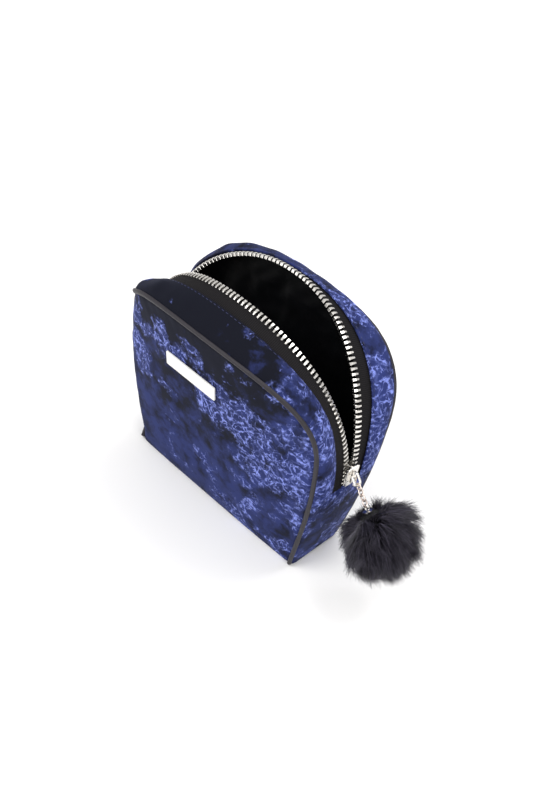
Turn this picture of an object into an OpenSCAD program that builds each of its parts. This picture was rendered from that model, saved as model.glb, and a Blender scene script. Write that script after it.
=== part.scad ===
// Boxy velvet cosmetic pouch, unzipped and standing on its base.
// Two domed panels, each with its own half of the zip, lean on hinge lines at the base.
// The front faces -Y, the width runs along X, and the floor is Z = 0.
// Front pieces are drawn once and mirrored for the back.

/* [Panels] */
// Half of the panel width at its widest
panel_half_w = 78; // [66:1:94]
// Half of the panel width at the base
base_half_w = 68; // [56:1:82]
// Height of the panels, to the middle of the piping
panel_h = 142; // [118:1:170]
// Height at which the top corners start to round
corner_z = 90; // [75:1:108]
// Squareness of the top corners: 2 is an ellipse, more is squarer
corner_power = 3.1; // [2:0.1:4]
// Half of the depth at the base
base_half_d = 20; // [16:1:30]
// Half of the depth at the top corners
top_half_d = 34.5; // [28:0.5:42]
// How far the middle of a panel stands out past its edges
panel_bow = 10.5; // [4:0.5:14]

/* [Cloth layers] */
// Thickness of the velvet with its backing
velvet_t = 1.4; // [0.8:0.1:2]
// Thickness of the foam interlining
foam_t = 1.6; // [1:0.1:3]
// Thickness of the satin lining
lining_t = 0.5; // [0.3:0.1:1]
// Gap left between neighbouring layers
layer_gap = 0.3; // [0.2:0.05:0.5]
// Radius of the piping along the panel edges
piping_r = 1.5; // [1:0.1:2.2]
// Radius of the cord inside the piping
piping_cord_r = 0.9; // [0.5:0.1:1]

/* [Zip] */
// Height of the zip ends on the sides
zip_end_z = 67; // [52:1:80]
// How far the top of the zip stands above the panels
zip_rise = 15.5; // [8:0.5:22]
// Half of the open mouth, between the middles of the teeth
mouth_half = 21.5; // [16:0.5:30]
// How far the zip line stands out past the panels at the sides
zip_proud = 1.5; // [0:0.5:3]
// How fast the two halves of the zip part: more keeps them together longer
part_power = 2; // [1.4:0.1:2.6]
// How much lower the side seam is at the piping than at the zip
seam_drop = 6; // [4:0.5:9]
// Gap between the zip halves and the side gussets at the seam
seam_gap = 1; // [0.8:0.1:2]
// Width of each zip tape
tape_w = 12; // [9:0.5:14]
// Width of the tape that shows beside the teeth
tape_show = 7; // [5:0.5:8.5]
// Thickness of the zip tape
tape_t = 0.8; // [0.6:0.1:1]
// Length of a tooth, across the zip
tooth_len = 4; // [3:0.2:5]
// Height of a tooth, through the tape
tooth_h = 3; // [2.4:0.1:3.6]
// Thickness of a tooth, along the zip
tooth_t = 1.5; // [1:0.1:1.8]
// Spacing of the teeth
tooth_pitch = 2.9; // [2.6:0.1:4]

/* [Slider and puller] */
// Length of the slider body
slider_len = 13; // [10:0.5:16]
// Width of the slider body
slider_w = 11; // [9:0.5:13]
// Thickness of each slider plate
slider_plate_t = 1.1; // [0.8:0.1:1.5]
// Radius of the bail's wire
bail_r = 0.75; // [0.5:0.05:1]
// Length of the bail, from the pivot to the first link
bail_len = 6; // [5:0.5:9]
// Radius of the chain's wire
link_r = 0.5; // [0.4:0.05:0.6]
// Inner width of a chain link
link_in_w = 1.8; // [1.5:0.1:2.4]
// Inner length of a chain link
link_in_len = 3.4; // [3:0.1:5]
// Angle of the hanging chain below level
chain_drop = 50; // [40:1:60]

/* [Pompom] */
// Radius of the fur ball
fur_r = 25; // [20:1:29]
// Radius of the stuffed ball under the fur
stuffing_r = 14; // [10:1:16]
// Radius of the parting in the fur where the chain goes in
fur_parting_r = 4; // [3.5:0.5:6]

/* [Plate] */
// Width of the plain plate on the front
plate_w = 40; // [30:1:46]
// Height of the plate
plate_h = 10; // [7:0.5:12]
// Thickness of the plate
plate_t = 0.9; // [0.6:0.1:1.5]
// Place of the plate's middle across the front
plate_x = -10.5; // [-20:0.5:20]
// Height of the plate's middle
plate_z = 106.5; // [85:0.5:112]

/* [Hidden] */
$fn = 32;
velvet_colour = "#1b2352";
lining_colour = "#0c0c12";
piping_colour = "#3b3840";
metal_colour = "#c9c7c4";

panel_foot_z = velvet_t + layer_gap;
layers_t = velvet_t + foam_t + lining_t + 2 * layer_gap;
piping_clear = 0.2;
edge_gap = piping_r + piping_clear;
tape_clear = 0.2;
skin_low = tape_t / 2 + tape_clear;
skin_high = skin_low + velvet_t;
skin_bulge = 1.2;
zip_half_w = panel_half_w + zip_proud;
zip_h = panel_h + zip_rise - zip_end_z;
teeth_apart = 1.2;
zip_centre = teeth_apart + tooth_len / 2;
zip_power = 2.16;
slot_len = 1.4;
slot_clear = 0.25;
slider_gap = tooth_h / 2 + 0.7;
slider_z = zip_end_z + 2.5 + slider_len / 2;
slider_x = zip_half_w * pow(1 - pow((slider_z - zip_end_z) / zip_h, zip_power), 1 / zip_power);
wedge_half = 0.7;
bridge_w = 2;
bridge_h = 1.6;
bridge_out = slider_gap + slider_plate_t + bridge_h;
sink = 0.1;
link_play = 0.07;
pivot_up = 8;
arch_steps = 56;
first_tooth = 5;
last_tooth = 8;
top_stop_at = 4.5;
stop_t = 3;

// ---- shapes of the panel edge and of the zip line

function edge_side(k, inset) = [
    base_half_w + (panel_half_w - base_half_w) * sin(90 * k) - inset,
    panel_foot_z + (corner_z - panel_foot_z) * k];
function edge_corner(a, inset) = [
    (panel_half_w - inset) * pow(cos(a), 2 / corner_power),
    corner_z + (panel_h - inset - corner_z) * pow(sin(a), 2 / corner_power)];
// Distance of a panel's outer face from the middle plane of the pouch
function panel_d(x, z) = base_half_d + (top_half_d - base_half_d) * z / panel_h
    + panel_bow * max(0, 1 - pow(abs(x) / panel_half_w, 3)) * sqrt(max(z, 0) / panel_h);
function side_w(z) = let (k = min(1, max(0, (z - panel_foot_z) / (corner_z - panel_foot_z))))
    edge_side(k, 0)[0];
function on_edge(p) = [p[0], -panel_d(p[0], p[1]), p[1]];
function zip_point(a) = let (s = pow(sin(a), 2 / zip_power)) [
    zip_half_w * pow(cos(a), 2 / zip_power),
    -(zip_centre + (mouth_half - zip_centre) * pow(s, part_power)),
    zip_end_z + zip_h * s];

// ---- even spacing along a line of points

function flip_x(p) = [-p[0], p[1], p[2]];
function both_sides(right) = concat(right,
    [for (i = [len(right) - 2:-1:0]) flip_x(right[i])]);
function run(p, i = 0, sum = 0) = i == len(p) - 1 ? [sum]
    : concat([sum], run(p, i + 1, sum + norm(p[i + 1] - p[i])));
function table(p, s, c) = [for (i = [0:len(p) - 1]) [s[i], p[i][c]]];
function tables(p) = let (s = run(p)) [table(p, s, 0), table(p, s, 1), table(p, s, 2), s[len(p) - 1]];
function at(t, v) = [for (c = [0:2]) lookup(v * t[3], t[c])];

seam_k = (zip_end_z - seam_drop - panel_foot_z) / (corner_z - panel_foot_z);
arch_right = concat(
    [for (i = [0:7]) on_edge(edge_side(seam_k + (1 - seam_k) * i / 8, 0))],
    [for (i = [0:30]) on_edge(edge_corner(3 * i, 0))]);
arch = tables(both_sides(arch_right));
zip_line = tables(both_sides([for (i = [0:45]) zip_point(2 * i)]));
zip_len = zip_line[3];

// ---- solids between two matching grids of points

// a and b are grids of the same size; the solid fills the space between them
module slab(a, b) {
    rows = len(a);
    cols = len(a[0]);
    n = rows * cols;
    points = concat([for (r = a) for (p = r) p], [for (r = b) for (p = r) p]);
    ring = concat(
        [for (j = [0:cols - 1]) j], [for (i = [1:rows - 1]) i * cols + cols - 1],
        [for (j = [cols - 2:-1:0]) (rows - 1) * cols + j], [for (i = [rows - 2:-1:1]) i * cols]);
    m = len(ring);
    faces = concat(
        [for (i = [0:rows - 2]) for (j = [0:cols - 2]) let (k = i * cols + j) each
            [[k, k + 1, k + cols + 1], [k, k + cols + 1, k + cols],
             [n + k, n + k + cols + 1, n + k + 1], [n + k, n + k + cols, n + k + cols + 1]]],
        [for (i = [0:m - 1]) let (p = ring[i], q = ring[(i + 1) % m]) each
            [[p, n + p, n + q], [p, n + q, q]]]);
    polyhedron(points, faces, convexity = 8);
}

// A tube along a line of points, kept at right angles to the way it runs
module tube(path, r_out, r_in, sides) {
    n = len(path);
    rings = [for (r = [r_out, r_in]) [for (i = [0:n - 1])
        let (t = unit(path[min(i + 1, n - 1)] - path[max(i - 1, 0)]),
             u = unit(cross(t, [0, 1, 0])), w = cross(u, t))
        [for (j = [0:sides - 1]) path[i] + r * (cos(360 * j / sides) * u + sin(360 * j / sides) * w)]]];
    size = n * sides;
    points = concat([for (r = rings[0]) for (p = r) p], [for (r = rings[1]) for (p = r) p]);
    wall = [for (i = [0:n - 2]) for (j = [0:sides - 1])
        let (k = i * sides + j, l = i * sides + (j + 1) % sides) [k, l, l + sides, k + sides]];
    faces = concat(
        [for (f = wall) each [[f[0], f[2], f[1]], [f[0], f[3], f[2]]]],
        [for (f = wall) each [[size + f[0], size + f[1], size + f[2]],
                              [size + f[0], size + f[2], size + f[3]]]],
        [for (j = [0:sides - 1]) let (l = (j + 1) % sides) each
            [[j, l, size + l], [j, size + l, size + j]]],
        [for (j = [0:sides - 1]) let (k = size - sides + j, l = size - sides + (j + 1) % sides) each
            [[k, size + l, l], [k, size + k, size + l]]]);
    polyhedron(points, faces, convexity = 8);
}

function unit(v) = v / norm(v);

// ---- sheets of the front half

// Panel layer between two depths below the outer face, its edge set in from the piping
module panel_layer(depth_a, depth_b, inset, columns) {
    rows = concat(
        [for (k = [0:7]) let (e = edge_side(k / 8, inset)) [e[0], max(e[1], panel_foot_z)]],
        [for (a = [0:9:81]) edge_corner(a, inset)], [edge_corner(86, inset)]);
    function face(depth) = [for (r = rows) [for (j = [0:columns]) let (x = r[0] * (2 * j / columns - 1))
        [x, -(panel_d(x, r[1]) - depth), r[1]]]];
    slab(face(depth_a), face(depth_b));
}

// A point on the zip half's own surface: v runs along the zip, d is the distance from the teeth
function strip_point(v, d) = let (z = at(zip_line, v), o = at(arch, v)) z + unit(o - z) * d;
function strip_len(v) = norm(at(arch, v) - at(zip_line, v));
function strip_normal(v) = let (e = 0.004,
    along = at(zip_line, min(v + e, 1)) - at(zip_line, max(v - e, 0))
        + at(arch, min(v + e, 1)) - at(arch, max(v - e, 0)),
    out = at(arch, v) - at(zip_line, v)) unit(cross(along, out));

// Sheet on the zip half from d_teeth to d_piping, between two heights over its surface
module strip_layer(low, high, d_teeth, piping_clear, bulge, columns, d_max = 99) {
    function face(lift) = [for (i = [0:arch_steps]) let (v = i / arch_steps, n = strip_normal(v),
        far = min(strip_len(v) - piping_clear, d_max))
        [for (j = [0:columns]) let (t = j / columns)
            strip_point(v, d_teeth + (far - d_teeth) * t) + n * (lift + bulge * sin(180 * t))]];
    slab(face(high), face(low));
}

module zip_gusset_half() {
    strip_layer(skin_low, skin_high, tooth_len / 2 + tape_show, edge_gap, skin_bulge, 5);
}

module gusset_lining_half() {
    strip_layer(-skin_low - lining_t, -skin_low, tooth_len / 2 + tape_show, edge_gap, 0, 3);
}

module zip_tape_half() {
    strip_layer(-tape_t / 2, tape_t / 2, tooth_len / 2 - slot_len + slot_clear, edge_gap, 0, 2,
        tooth_len / 2 + tape_w);
}

// Places its children on the zip line: x along the zip, y towards the mouth, z out of the tape
module on_zip(v) {
    n = strip_normal(v);
    p = strip_point(v, 0);
    inward = unit(at(zip_line, v) - at(arch, v));
    y = unit(inward - n * (inward * n));
    x = cross(y, n);
    multmatrix([[x[0], y[0], n[0], p[0]], [x[1], y[1], n[1], p[1]], [x[2], y[2], n[2], p[2]],
                [0, 0, 0, 1]])
        children();
}

// One crimped tooth: two jaws over the tape edge and a narrower head
module tooth(thick) {
    jaw = tooth_h / 2;
    step = 0.35;
    head = jaw - step;
    slot = tape_t / 2 + slot_clear;
    half = tooth_len / 2;
    translate([-thick / 2, 0, 0]) rotate([90, 0, 90]) linear_extrude(thick)
        polygon([[-half, slot], [-half, jaw - step], [-half + step, jaw], [step, jaw],
                 [half - step, head], [half, head - step], [half, step - head], [half - step, -head],
                 [step, -jaw], [-half + step, -jaw], [-half, step - jaw], [-half, -slot],
                 [slot_len - half, -slot], [slot_len - half, slot]]);
}

// A row of teeth; the other row is half a pitch further on, so that the rows would mesh
module teeth_half(phase) {
    count = floor((zip_len - last_tooth - first_tooth) / tooth_pitch);
    for (i = [0:count - 1])
        on_zip((first_tooth + (i + phase) * tooth_pitch) / zip_len) tooth(tooth_t);
}

module top_stop_half() {
    on_zip((zip_len - top_stop_at) / zip_len) tooth(stop_t);
}

module piping_half(outer, inner, sides) {
    path = concat(
        [for (i = [0:7]) on_edge(edge_side(i / 8, 0)) + [0, 0, i == 0 ? piping_r : 0]],
        [for (i = [0:15]) on_edge(edge_corner(6 * i, 0))]);
    tube(both_sides(path), outer, inner, sides);
}

module piping_cord_half() {
    piping_half(piping_cord_r, piping_cord_r * 0.25, 6);
}

// ---- base and sides

module base_panel() {
    color(velvet_colour) translate([-base_half_w + edge_gap, -base_half_d, 0])
        cube([2 * (base_half_w - edge_gap), 2 * base_half_d, velvet_t]);
}

module base_sheet(bottom, thick, margin) {
    half_x = base_half_w - skin_low - lining_t - margin;
    half_y = base_half_d - layers_t - margin;
    translate([-half_x, -half_y, bottom]) cube([2 * half_x, 2 * half_y, thick]);
}

module base_foam() {
    color("#2a2a30") base_sheet(panel_foot_z, foam_t, 1);
}

module base_lining() {
    color(lining_colour) base_sheet(panel_foot_z + foam_t + layer_gap, lining_t, 1);
}

module base_piping_right() {
    color(piping_colour)
        translate([base_half_w, base_half_d - edge_gap, piping_r])
            rotate([90, 0, 0]) cylinder(r = piping_r, h = 2 * (base_half_d - edge_gap));
}

module base_piping_left() {
    mirror([1, 0, 0]) base_piping_right();
}

side_foot = 2 * piping_r + layer_gap;
function side_half_d(z) = panel_d(side_w(z), z) - edge_gap;
// Height of the seam between the side and the zip halves
function seam_z(y) = let (full = side_half_d(zip_end_z - seam_drop))
    zip_end_z - seam_gap - seam_drop * max(0, abs(y) - zip_centre) / (full - zip_centre);
// Distance of the side's own surface from the middle; c is 0 at the middle plane and 1 at the piping
function side_out(c, z) = side_w(z)
    + zip_proud * max(0, z - side_foot) / (zip_end_z - side_foot) * (1 - c * c);

// Side wall under the zip end, between two distances out from its surface
module side_sheet(low, high, bulge) {
    steps = 8;
    function face(out) = [for (i = [0:steps]) [for (j = [-steps:steps])
        let (c = j / steps, guess = side_foot + (zip_end_z - seam_drop - side_foot) * i / steps,
             y = c * side_half_d(guess), z = side_foot + (seam_z(y) - side_foot) * i / steps)
        [side_out(c, z) + out + bulge * sin(180 * i / steps) * (1 - c * c), y, z]]];
    slab(face(high), face(low));
}

module side_gusset_right() {
    color(velvet_colour) side_sheet(skin_low, skin_high, skin_bulge);
}

module side_gusset_left() {
    mirror([1, 0, 0]) side_gusset_right();
}

module side_lining_right() {
    color(lining_colour) side_sheet(-skin_low - lining_t, -skin_low, 0);
}

module side_lining_left() {
    mirror([1, 0, 0]) side_lining_right();
}

// Bar that holds the two tapes together below the slider
module zip_bottom_stop() {
    half = teeth_apart + 0.8;
    stop_h = 1.8;
    color(metal_colour)
        translate([zip_half_w - tooth_h / 2, -half, zip_end_z + tape_clear])
            cube([tooth_h, 2 * half, stop_h]);
}

// Closed end of the tapes, sewn in behind the side gusset
module zip_end_tape_right() {
    half = 9;
    tail = 9;
    steps = 6;
    function face(out) = [for (i = [0:steps]) [for (j = [-steps:steps])
        let (y = half * j / steps, z = seam_z(y) - layer_gap - tail + tail * i / steps)
        [side_out(y / side_half_d(z), z) + out, y, z]]];
    color("#17161a") slab(face(tape_t / 2), face(-tape_t / 2));
}

module zip_end_tape_left() {
    mirror([1, 0, 0]) zip_end_tape_right();
}

// ---- front half

module front_panel() {
    color(velvet_colour) panel_layer(0, velvet_t, edge_gap, 16);
}

module front_foam() {
    color("#2a2a30")
        panel_layer(velvet_t + layer_gap, velvet_t + layer_gap + foam_t, edge_gap + 1, 12);
}

module front_lining() {
    color(lining_colour) panel_layer(layers_t - lining_t, layers_t, edge_gap + 1, 12);
}

module front_piping() {
    color(piping_colour) piping_half(piping_r, piping_cord_r + 0.1, 8);
}

module front_piping_cord() {
    color("white") piping_cord_half();
}

module front_zip_gusset() {
    color(velvet_colour) zip_gusset_half();
}

module front_gusset_lining() {
    color(lining_colour) gusset_lining_half();
}

module front_zip_tape() {
    color("#17161a") zip_tape_half();
}

module front_teeth() {
    color(metal_colour) teeth_half(0);
}

module front_top_stop() {
    color(metal_colour) top_stop_half();
}

// Plain plate, flat against the front panel
module name_plate() {
    span = 5;
    up = panel_d(plate_x, plate_z + span) - panel_d(plate_x, plate_z - span);
    across = panel_d(plate_x + span, plate_z) - panel_d(plate_x - span, plate_z);
    corner = 0.8;
    w = plate_w / 2 - corner;
    h = plate_h / 2 - corner;
    stand_off = 0.35;
    color("#e9e7e4")
        translate([plate_x, -panel_d(plate_x, plate_z) - stand_off, plate_z])
            rotate([atan2(up, 2 * span), 0, -atan2(across, 2 * span)])
                rotate([90, 0, 0]) linear_extrude(plate_t) union() {
                    square([2 * w, plate_h], center = true);
                    square([plate_w, 2 * h], center = true);
                    for (i = [-1, 1], j = [-1, 1])
                        translate([i * w, j * h]) circle(r = corner);
                }
}

// ---- back half

module back_panel() {
    mirror([0, 1, 0]) front_panel();
}

module back_foam() {
    mirror([0, 1, 0]) front_foam();
}

module back_lining() {
    mirror([0, 1, 0]) front_lining();
}

module back_piping() {
    mirror([0, 1, 0]) front_piping();
}

module back_piping_cord() {
    mirror([0, 1, 0]) front_piping_cord();
}

module back_zip_gusset() {
    mirror([0, 1, 0]) front_zip_gusset();
}

module back_gusset_lining() {
    mirror([0, 1, 0]) front_gusset_lining();
}

module back_zip_tape() {
    mirror([0, 1, 0]) front_zip_tape();
}

module back_teeth() {
    color(metal_colour) mirror([0, 1, 0]) teeth_half(0.5);
}

module back_top_stop() {
    mirror([0, 1, 0]) front_top_stop();
}

// ---- slider, bail and chain

// Two plates with a wedge between the rows, and a drilled bridge for the bail
module slider_body() {
    plate_l = slider_len / 2;
    wedge_l = 4;
    pin_hole_r = bail_r + 0.05;
    eye_r = pin_hole_r + 0.8;
    color(metal_colour) translate([slider_x, 0, slider_z]) difference() {
        union() {
            for (out = [-slider_gap - slider_plate_t, slider_gap])
                translate([out, -slider_w / 2, -plate_l]) cube([slider_plate_t, slider_w, slider_len]);
            translate([-slider_gap - sink, -wedge_half, plate_l - wedge_l])
                cube([2 * (slider_gap + sink), 2 * wedge_half, wedge_l]);
            translate([slider_gap + slider_plate_t - sink, -bridge_w / 2, -plate_l + 1])
                cube([bridge_h + sink, bridge_w, slider_len - 3]);
            translate([bridge_out, bridge_w / 2, -plate_l + pivot_up])
                rotate([90, 0, 0]) cylinder(r = eye_r, h = bridge_w);
        }
        translate([bridge_out, bridge_w, -plate_l + pivot_up])
            rotate([90, 0, 0]) cylinder(r = pin_hole_r, h = 2 * bridge_w);
    }
}

// Half of a wire ring's end: a bent round wire
module wire_bend(middle_r, wire_r) {
    rotate_extrude(angle = 180) translate([middle_r, 0]) circle(r = wire_r);
}

// Oval wire link in the XY plane, its inner length along Y, from y = 0 upwards
module oval_link(in_w, in_len, wire_r) {
    middle_r = in_w / 2 + wire_r;
    straight = in_len - in_w;
    translate([0, in_w / 2, 0]) {
        translate([0, straight, 0]) wire_bend(middle_r, wire_r);
        rotate([0, 0, 180]) wire_bend(middle_r, wire_r);
        for (side = [-1, 1])
            translate([side * middle_r, 0, 0]) rotate([-90, 0, 0]) cylinder(r = wire_r, h = straight);
    }
}

// Frame of the hanging chain: y runs down the chain, x is level, from the bail's pivot
module on_chain(distance, turned) {
    translate([slider_x + bridge_out, 0, slider_z - slider_len / 2 + pivot_up])
        rotate([0, chain_drop, 0]) translate([distance, 0, 0])
            rotate([turned ? 90 : 0, 0, 0]) rotate([0, 0, -90]) children();
}

// Closed wire bail; its cross bar turns in the slider's bridge
module puller_bail() {
    half = bridge_w / 2 + 0.5 + bail_r;
    color(metal_colour) on_chain(0, false) {
        translate([-half, 0, 0]) rotate([0, 90, 0]) cylinder(r = bail_r, h = 2 * half);
        for (side = [-1, 1]) {
            translate([side * half, 0, 0]) sphere(r = bail_r);
            translate([side * half, 0, 0]) rotate([-90, 0, 0])
                cylinder(r = bail_r, h = bail_len - half);
        }
        translate([0, bail_len - half, 0]) wire_bend(half, bail_r);
    }
}

// Where link number i starts, so that its wire just clears the wire before it
function link_at(i) = bail_len - bail_r - link_play + i * (link_in_len - link_play);

module chain_link(i) {
    color("#cfc4bd") on_chain(link_at(i), i % 2 == 0)
        oval_link(link_in_w, link_in_len, link_r);
}

module chain_link_1() {
    chain_link(0);
}

module chain_link_2() {
    chain_link(1);
}

module chain_link_3() {
    chain_link(2);
}

module chain_link_4() {
    chain_link(3);
}

// ---- pompom

cap_from = link_at(4);
eye_len = link_in_w + 0.6;
washer_r = 3;
washer_t = 0.8;
cap_plate = cap_from + eye_len + 2 * link_r - sink;
fur_centre = cap_plate + washer_t + 0.4 + stuffing_r;

// Eye and cup washer that hold the pompom on the last link
module pompom_cap() {
    color(metal_colour) {
        on_chain(cap_from, true) oval_link(link_in_w, eye_len, link_r);
        on_chain(cap_plate, false) rotate([-90, 0, 0]) cylinder(r = washer_r, h = washer_t);
    }
}

module pompom_stuffing() {
    color("#dcd8d0") on_chain(fur_centre, false) sphere(r = stuffing_r);
}

module pompom_fur() {
    color("#0d0c10") on_chain(fur_centre, false) difference() {
        sphere(r = fur_r);
        sphere(r = stuffing_r + 0.2);
        rotate([90, 0, 0]) cylinder(r = fur_parting_r, h = fur_r + 1);
    }
}

base_panel();
base_foam();
base_lining();
base_piping_right();
base_piping_left();
side_gusset_right();
side_gusset_left();
side_lining_right();
side_lining_left();
zip_bottom_stop();
zip_end_tape_right();
zip_end_tape_left();
front_panel();
front_foam();
front_lining();
front_piping();
front_piping_cord();
front_zip_gusset();
front_gusset_lining();
front_zip_tape();
front_teeth();
front_top_stop();
name_plate();
back_panel();
back_foam();
back_lining();
back_piping();
back_piping_cord();
back_zip_gusset();
back_gusset_lining();
back_zip_tape();
back_teeth();
back_top_stop();
slider_body();
puller_bail();
chain_link_1();
chain_link_2();
chain_link_3();
chain_link_4();
pompom_cap();
pompom_stuffing();
pompom_fur();
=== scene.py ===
import math
from functools import lru_cache

import bmesh
import bpy
import numpy as np
from mathutils import Matrix, Vector, noise


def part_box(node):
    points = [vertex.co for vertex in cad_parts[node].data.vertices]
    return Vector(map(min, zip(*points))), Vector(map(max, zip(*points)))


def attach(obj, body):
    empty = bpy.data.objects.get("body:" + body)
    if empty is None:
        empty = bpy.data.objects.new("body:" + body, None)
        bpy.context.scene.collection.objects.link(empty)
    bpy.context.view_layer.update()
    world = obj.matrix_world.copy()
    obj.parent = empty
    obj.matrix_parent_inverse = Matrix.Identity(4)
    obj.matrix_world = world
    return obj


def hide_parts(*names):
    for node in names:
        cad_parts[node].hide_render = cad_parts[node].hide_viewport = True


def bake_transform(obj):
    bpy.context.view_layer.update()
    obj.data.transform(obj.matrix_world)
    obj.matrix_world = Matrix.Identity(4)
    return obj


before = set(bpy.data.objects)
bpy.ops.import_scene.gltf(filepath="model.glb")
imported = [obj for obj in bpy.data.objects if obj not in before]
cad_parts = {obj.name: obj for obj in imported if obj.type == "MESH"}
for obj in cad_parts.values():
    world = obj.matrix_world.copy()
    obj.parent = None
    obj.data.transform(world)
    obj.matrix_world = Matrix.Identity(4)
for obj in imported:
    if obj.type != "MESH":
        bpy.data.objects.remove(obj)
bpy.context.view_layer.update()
MM = 0.001


# ---- Camera
# A normal lens a little over half a metre away, high on the front right, turned a few degrees
# about its own line of sight.
AIM = Vector((-2, 0, 55)) * MM
AZIMUTH, ELEVATION, ROLL = math.radians(39.8), math.radians(43), math.radians(8.9)
DISTANCE = 667 * MM

camera = bpy.data.objects.new("camera", bpy.data.cameras.new("camera"))
bpy.context.scene.collection.objects.link(camera)
bpy.context.scene.camera = camera
camera.data.lens = 49.56
camera.data.shift_x, camera.data.shift_y = 0.0296, 0.0248
toward = Vector((math.sin(AZIMUTH) * math.cos(ELEVATION), -math.cos(AZIMUTH) * math.cos(ELEVATION),
                 math.sin(ELEVATION)))
across = Vector((math.cos(AZIMUTH), math.sin(AZIMUTH), 0))
upward = toward.cross(across)
turn = Matrix.Rotation(ROLL, 3, toward)
camera.matrix_world = Matrix.Translation(AIM + toward * DISTANCE) @ Matrix(
    (turn @ across, turn @ upward, toward)).transposed().to_4x4()


# ---- Light and floor
# A white table and three large soft boxes in a white room: nothing in it has a colour of its own.
ROOM_LIGHT = 0.75


def linear(code):
    """An sRGB hex colour as linear red, green, blue and alpha."""
    parts = [int(code[i:i + 2], 16) / 255 for i in (1, 3, 5)]
    return [p / 12.92 if p <= 0.04045 else ((p + 0.055) / 1.055) ** 2.4 for p in parts] + [1]


def add(tree, kind, inputs=None, output=0, **settings):
    """Adds a shader node and gives one of its outputs. Inputs are values or the sockets to link."""
    made = tree.nodes.new("ShaderNode" + kind)
    for name, value in settings.items():
        setattr(made, name, value)
    for name, value in (inputs or {}).items():
        if isinstance(value, bpy.types.NodeSocket):
            tree.links.new(value, made.inputs[name])
        else:
            made.inputs[name].default_value = value
    return made.outputs[output]


def material(name):
    """An empty Principled material: its tree and its shader."""
    made = bpy.data.materials.new(name)
    made.use_nodes = True
    return made.node_tree, made.node_tree.nodes["Principled BSDF"], made


def soft_box(name, place, size, power):
    lamp = bpy.data.objects.new(name, bpy.data.lights.new(name, "AREA"))
    lamp.data.size = size
    lamp.data.energy = power
    lamp.location = place
    lamp.rotation_euler = (AIM - Vector(place)).to_track_quat("-Z", "Y").to_euler()
    bpy.context.scene.collection.objects.link(lamp)


soft_box("key_light", (-0.5, -1.1, 1.3), 0.9, 16)
soft_box("side_light", (1.3, -0.5, 0.9), 0.8, 9)
soft_box("top_light", (0.2, 0.7, 1.6), 1.0, 14)

bpy.context.scene.view_settings.view_transform = "Standard"
room = bpy.data.worlds.new("room")
room.use_nodes = True
room.node_tree.nodes["Background"].inputs["Color"].default_value = linear("#ffffff")
room.node_tree.nodes["Background"].inputs["Strength"].default_value = ROOM_LIGHT
bpy.context.scene.world = room

shell = bmesh.new()
bmesh.ops.create_grid(shell, x_segments=1, y_segments=1, size=4)
floor = bpy.data.objects.new("floor", bpy.data.meshes.new("floor"))
shell.to_mesh(floor.data)
shell.free()
tree, shader, paper = material("matt_white_table")
shader.inputs["Base Color"].default_value = linear("#f4f3f2")
shader.inputs["Roughness"].default_value = 0.9
floor.data.materials.append(paper)
bpy.context.scene.collection.objects.link(floor)


# ---- Front and back panels
# Crushed velvet over foam, cut to a rounded arch and domed by its lining. The pile is flattened
# in random directions; the patches of it that shine are painted highlight and sheen in its colour,
# and the dark hollows between them are painted shade. The foot turns under.
PIPING_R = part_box("base_piping_right")[1].z / 2
PANEL_HALF_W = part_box("front_piping")[1].x - PIPING_R
PANEL_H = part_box("front_piping")[1].z - PIPING_R
BASE_HALF_W = sum(p.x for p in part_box("base_piping_right")) / 2
BASE_HALF_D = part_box("base_panel")[1].y
FOOT_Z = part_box("front_panel")[0].z
BOW = 10.5 * MM
TOP_HALF_D = -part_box("front_panel")[0].y - BOW
CORNER_Z = 90 * MM
CORNER_POWER = 3.1
VELVET_T = 1.4 * MM
FRONT, BACK = -1, 1


def panel_depth(x, z):
    """How far a panel's outer face is from the middle plane of the pouch."""
    dome = max(0, 1 - abs(x / PANEL_HALF_W) ** 3) * math.sqrt(max(z, 0) / PANEL_H)
    return BASE_HALF_D + (TOP_HALF_D - BASE_HALF_D) * z / PANEL_H + BOW * dome


def roll(x, z):
    """How far the padded left edge of a panel curls back, which hides its piping from the right."""
    low_left = min(1, max(0, (-x / MM - 56) / 10)) * min(1, max(0, (131 - z / MM) / 14))
    return 7 * MM * low_left * min(1, z / (10 * MM))


def curled(x, z):
    """How far a layer of the panel follows the roll: none inside, all of it at the edge."""
    share = min(1, max(0, 1 - (edge_clear(x, z) - 0.9 * MM) / (8 * MM)))
    return roll(x, z) * (1 - math.sqrt(1 - share ** 2))


def dented(x, z, side):
    """The dents of a panel: none at its sewn edges."""
    dent = 0.9 * MM * wavy(x, 0.3 * side, z, 34 * MM) + 0.4 * MM * wavy(x, 0.3 * side + 1, z, 14 * MM)
    return dent * (1 - math.exp(-max(edge_clear(x, z), 0) / (9 * MM))) * min(1, z / (20 * MM))


def edge_side(k):
    """The straight part of the panel's edge, from the foot (k = 0) to the corner (k = 1)."""
    return (BASE_HALF_W + (PANEL_HALF_W - BASE_HALF_W) * math.sin(k * math.pi / 2),
            FOOT_Z + (CORNER_Z - FOOT_Z) * k)


def edge_corner(angle):
    """The round part of the panel's edge: 0 at the side, a quarter turn at the top."""
    power = 2 / CORNER_POWER
    return (PANEL_HALF_W * max(math.cos(angle), 0) ** power,
            CORNER_Z + (PANEL_H - CORNER_Z) * math.sin(angle) ** power)


def edge_clear(x, z):
    """About how far a point of the panel is from its piped edge."""
    if z < CORNER_Z:
        return edge_side(max(z - FOOT_Z, 0) / (CORNER_Z - FOOT_Z))[0] - abs(x)
    out, up = abs(x) / PANEL_HALF_W, (z - CORNER_Z) / (PANEL_H - CORNER_Z)
    return (1 - (out ** CORNER_POWER + up ** CORNER_POWER) ** (1 / CORNER_POWER)) * (PANEL_H - CORNER_Z)


def wavy(x, y, z, size):
    """Smooth noise from -1 to 1 whose waves are about size across."""
    return noise.noise(Vector((x, y, z)) / size)


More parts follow.
